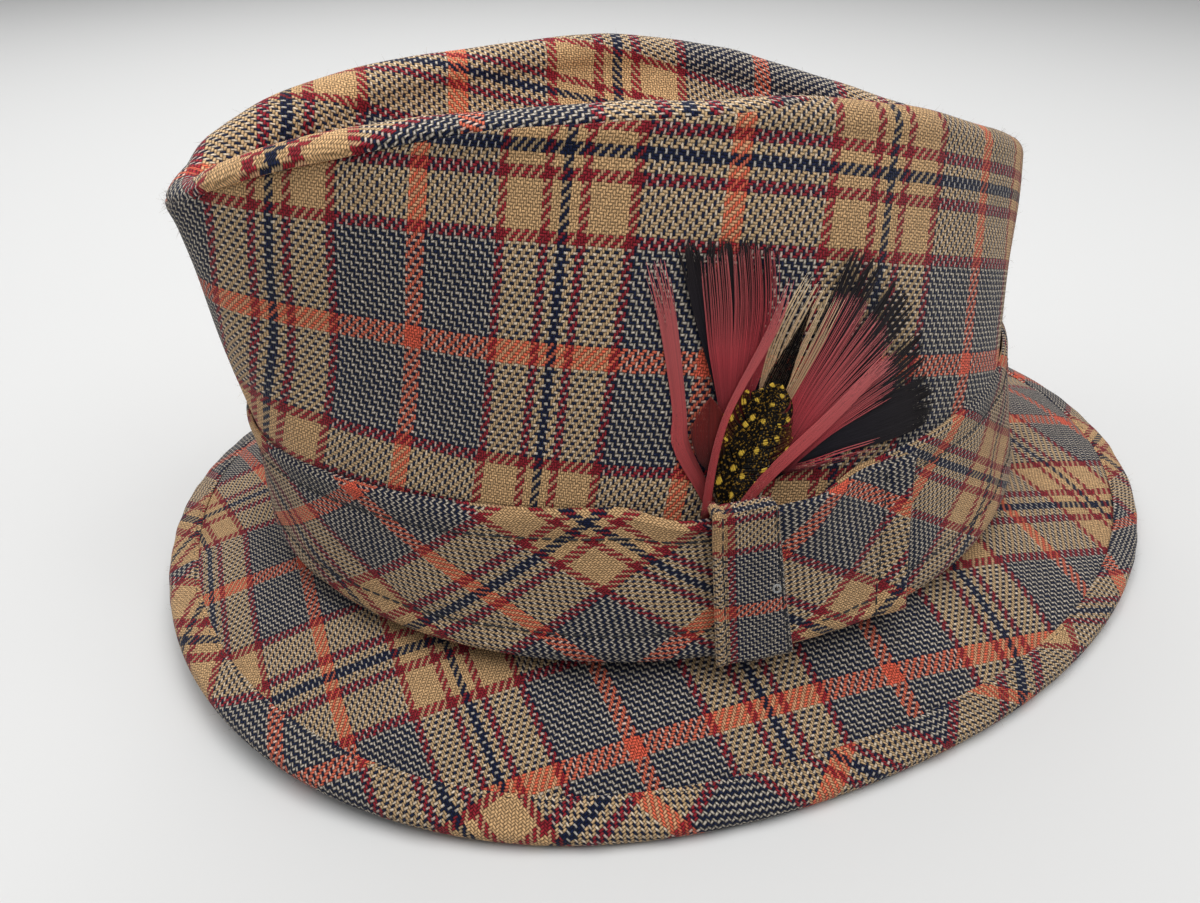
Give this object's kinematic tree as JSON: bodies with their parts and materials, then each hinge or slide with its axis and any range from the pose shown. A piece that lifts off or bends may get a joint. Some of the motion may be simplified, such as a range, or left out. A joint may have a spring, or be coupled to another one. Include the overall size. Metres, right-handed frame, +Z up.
{
  "type": "plaid wool fedora",
  "caption": "Soft plaid wool fedora with a creased crown, turned-down bound brim, bias band with keeper, and a feather mount; worn on the head.",
  "frame": {"origin": "on the table, under the middle of the brim", "axes": "+Z up, -Y to the front of the hat, +X to the wearer's left, where the feathers are"},
  "size_m": [0.2314, 0.2926, 0.1268],
  "materials": {
    "wool_plaid": "woven worsted plaid in a two-by-two twill, matt with fine fuzz",
    "clear_thread": "clear nylon thread tack",
    "feather_slate": "dark dyed hackle feather, soft sheen",
    "feather_pink": "dusty pink dyed feather, soft sheen",
    "feather_cream": "undyed pale barbs",
    "feather_dark": "stripped dark quill tip",
    "feather_russet": "small russet body feather",
    "feather_spotted": "dark feather with yellow spots"
  },
  "bodies": {
    "root": {"crown_side": "wool_plaid", "crown_tip": "wool_plaid", "brim": "wool_plaid", "brim_binding": "wool_plaid", "hat_band": "wool_plaid", "band_tail": "wool_plaid", "band_keeper": "wool_plaid", "keeper_tack": "clear_thread", "feather_slate_left": "feather_slate", "feather_slate_upper": "feather_slate", "feather_slate_lower": "feather_slate", "feather_pink_left": "feather_pink", "feather_pink_right": "feather_pink", "feather_pink_low": "feather_pink", "feather_cream": "feather_cream", "feather_dark_spike": "feather_dark", "feather_russet": "feather_russet", "feather_spotted": "feather_spotted", "biot_left": "feather_pink", "biot_centre": "feather_pink", "biot_right": "feather_pink"}
  },
  "joints": []
}
